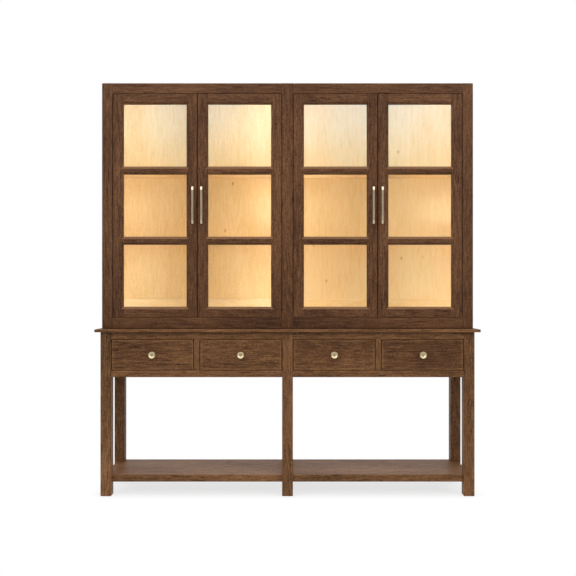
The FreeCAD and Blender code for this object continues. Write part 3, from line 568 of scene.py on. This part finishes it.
def studio_lamps():
    """Soft boxes: a long one high in front, two lower ones at the sides, where the panes don't mirror
    them, one overhead, and two behind that light the back and the ends, without a gleam on the shelf."""
    area_lamp("front_box", place=(0, -5.6, 6.3), target=(0, 0, 0.9), size=(10.0, 5.5), power=220.0)
    for hand, side in HANDS:
        area_lamp(f"side_box_{hand}", place=(side * 5.2, -5.5, 3.6), target=(0, 0, 1.0), size=(4.0, 2.8),
                  power=140.0)
    area_lamp("top_box", place=(0, -1.4, 4.8), target=(0, 0, 1.2), size=(3.2, 2.0), power=40.0)
    for hand, side in HANDS:
        fill = area_lamp(f"back_fill_{hand}", place=(side * 4.2, 4.0, 2.6), target=(0, 0, 1.2),
                         size=(3.0, 2.4), power=70.0)
        fill.visible_glossy = False


CHANNEL_CLEAR = 0.6 * MM    # from a door's edge to the upright channel behind it
CHANNEL_HALF = 7.5 * MM     # half a channel's width
STRIP_CLEAR = 0.5 * MM      # from a diffuser to its lamp
STRIP_WIDE = 12 * MM
UPRIGHT_LONG = 1200 * MM
UPRIGHT_HEIGHT = 1555.5 * MM        # of its middle
UPRIGHT_LEAN = 0.3          # sideways for each 1 to the back
UPRIGHT_COLOUR = "#c8e1ff"
INNER_POWER = 9.0           # watts
OUTER_POWER = 5.4
LEVEL_LONG = 450 * MM
LEVEL_PLACES = (("inner", 240 * MM), ("outer", 730 * MM))   # x of the middles
LEVEL_POWER = 1.45          # watts
LEVEL_COLOUR = "#509aff"


def hutch_lamps():
    """The light of the strips in each bay: two upright ones that lean to the bay's middle, and two above
    the doors. It is cool, because the pale boards warm it each time that it goes from one to the next."""
    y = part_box("led_diffusers")[1][Y] + STRIP_CLEAR
    level_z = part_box("led_channels")[1][Z] - CHANNEL_HALF
    past_door = CHANNEL_CLEAR + CHANNEL_HALF
    inner_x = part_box("door_3_stiles")[0][X] - past_door
    outer_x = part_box("door_4_stiles")[1][X] + past_door
    uprights = (("inner", inner_x, UPRIGHT_LEAN, INNER_POWER),
                ("outer", outer_x, -UPRIGHT_LEAN, OUTER_POWER))
    upright_size = (STRIP_WIDE, UPRIGHT_LONG)
    level_size = (LEVEL_LONG, STRIP_WIDE)
    for hand, side in HANDS:
        for end, x, lean, power in uprights:
            place = Vector((side * x, y, UPRIGHT_HEIGHT))
            target = place + Vector((side * lean, 1, 0))
            area_lamp(f"strip_{hand}_{end}", place, target, upright_size, power, UPRIGHT_COLOUR)
        for end, x in LEVEL_PLACES:
            place = Vector((side * x, y, level_z))
            target = place + Vector(BACKWARD)
            area_lamp(f"strip_{hand}_top_{end}", place, target, level_size, LEVEL_POWER, LEVEL_COLOUR)


studio_lamps()
hutch_lamps()


# Studio

WHITE = linear("#ffffff")
ROOM_LEVEL = 0.2            # light from all around
FRONT_LEVEL = 0.12          # of the room straight in front, as gloss shows it
FRONT_STARTS = -0.75        # y of the direction where that room starts to dim, and where it is dimmest
FRONT_WHOLE = -0.97


def sight(tree, path, kind, bounces):
    """1 for the eye's own rays and for those of the given kind, 0 once the light has bounced in one of the
    other ways."""
    kept = path.outputs[kind]
    for bounce in bounces:
        direct = add(tree, "Math", {0: path.outputs[bounce], 1: 0.5}, operation="LESS_THAN").outputs[0]
        kept = add(tree, "Math", {0: kept, 1: direct}, operation="MULTIPLY").outputs[0]
    return add(tree, "Math", {0: path.outputs["Is Camera Ray"], 1: kept}, operation="MAXIMUM").outputs[0]


def studio_world():
    """White to the eye and through glass, and in gloss too, but for the dimmer room in front; a plain
    level for lighting."""
    world = bpy.data.worlds.new("studio")
    bpy.context.scene.world = world
    world.use_nodes = True
    tree = world.node_tree
    tree.nodes.clear()
    path = add(tree, "LightPath", {})
    seen = sight(tree, path, "Is Transmission Ray", ("Diffuse Depth", "Glossy Depth"))
    gleam = sight(tree, path, "Is Glossy Ray", ("Diffuse Depth",))
    way = add(tree, "SeparateXYZ", {0: add(tree, "TexCoord", {}).outputs["Generated"]})
    front = {"Value": way.outputs[Y], "From Min": FRONT_WHOLE, "From Max": FRONT_STARTS,
             "To Min": FRONT_LEVEL, "To Max": 1.0}
    room = add(tree, "MapRange", front).outputs[0]
    level = add(tree, "Background", {"Color": WHITE, "Strength": ROOM_LEVEL})
    gloss = add(tree, "Background", {"Color": room, "Strength": 1.0})
    white = add(tree, "Background", {"Color": WHITE, "Strength": 1.0})
    unseen = add(tree, "MixShader", {0: gleam, 1: level.outputs[0], 2: gloss.outputs[0]})
    mixed = add(tree, "MixShader", {0: seen, 1: unseen.outputs[0], 2: white.outputs[0]})
    add(tree, "OutputWorld", {"Surface": mixed.outputs[0]})


FLOOR_EDGE = 15.0           # half of the floor's width
FLOOR_CORE = (0.96, 0.16, 0.0)      # half size of the ground under the legs that keeps its whole shadow
FLOOR_FADE = 0.11           # from there to where the floor is white


def floor_material():
    """A pale painted floor that keeps the soft shadow under the piece and goes to white away from it."""
    material, tree = start_material("white_studio_floor")
    path = add(tree, "LightPath", {})
    through = sight(tree, path, "Is Transmission Ray", ("Diffuse Depth", "Glossy Depth"))
    gleam = sight(tree, path, "Is Glossy Ray", ("Diffuse Depth",))
    seen = add(tree, "Math", {0: through, 1: gleam}, operation="MAXIMUM").outputs[0]
    plain = add(tree, "BsdfDiffuse", {"Color": linear("#e6e6e6")})
    soft = add(tree, "BsdfDiffuse", {"Color": linear("#909090")})
    glow = add(tree, "Emission", {"Color": WHITE, "Strength": 0.74})
    near = add(tree, "AddShader", {0: soft.outputs[0], 1: glow.outputs[0]})
    white = add(tree, "Emission", {"Color": WHITE, "Strength": 1.0})
    place = add(tree, "TexCoord", {}).outputs["Object"]
    away = add(tree, "VectorMath", {0: place}, operation="ABSOLUTE").outputs[0]
    away = add(tree, "VectorMath", {0: away, 1: FLOOR_CORE}, operation="SUBTRACT").outputs[0]
    away = add(tree, "VectorMath", {0: away, 1: (0.0, 0.0, 0.0)}, operation="MAXIMUM").outputs[0]
    away = add(tree, "VectorMath", {0: away}, operation="LENGTH").outputs["Value"]
    fade = {"Value": away, "From Min": 0.0, "From Max": FLOOR_FADE}
    far = add(tree, "MapRange", fade, interpolation_type="SMOOTHSTEP").outputs[0]
    shown = add(tree, "MixShader", {0: far, 1: near.outputs[0], 2: white.outputs[0]})
    close_material(tree, add(tree, "MixShader", {0: seen, 1: plain.outputs[0], 2: shown.outputs[0]}))
    return material


def studio_floor():
    """One large square at the level of the feet."""
    corners = [(-1, -1), (1, -1), (1, 1), (-1, 1)]
    mesh = bpy.data.meshes.new("studio_floor")
    mesh.from_pydata([(x * FLOOR_EDGE, y * FLOOR_EDGE, 0.0) for x, y in corners], [], [(0, 1, 2, 3)])
    mesh.materials.append(floor_material())
    floor = bpy.data.objects.new("studio_floor", mesh)
    bpy.context.scene.collection.objects.link(floor)


studio_world()
studio_floor()


SENSOR = 36.0               # mm, and the lens too
LENS = 52.5
EYE = (0.0026, -4.640, 1.104)


def camera():
    """Level, square to the front."""
    data = bpy.data.cameras.new("view")
    data.sensor_width = SENSOR
    data.lens = LENS
    view = bpy.data.objects.new("view", data)
    view.location = EYE
    view.rotation_euler = (math.radians(90), 0, 0)
    bpy.context.scene.collection.objects.link(view)
    bpy.context.scene.camera = view


camera()
bpy.context.scene.view_settings.view_transform = "Standard"
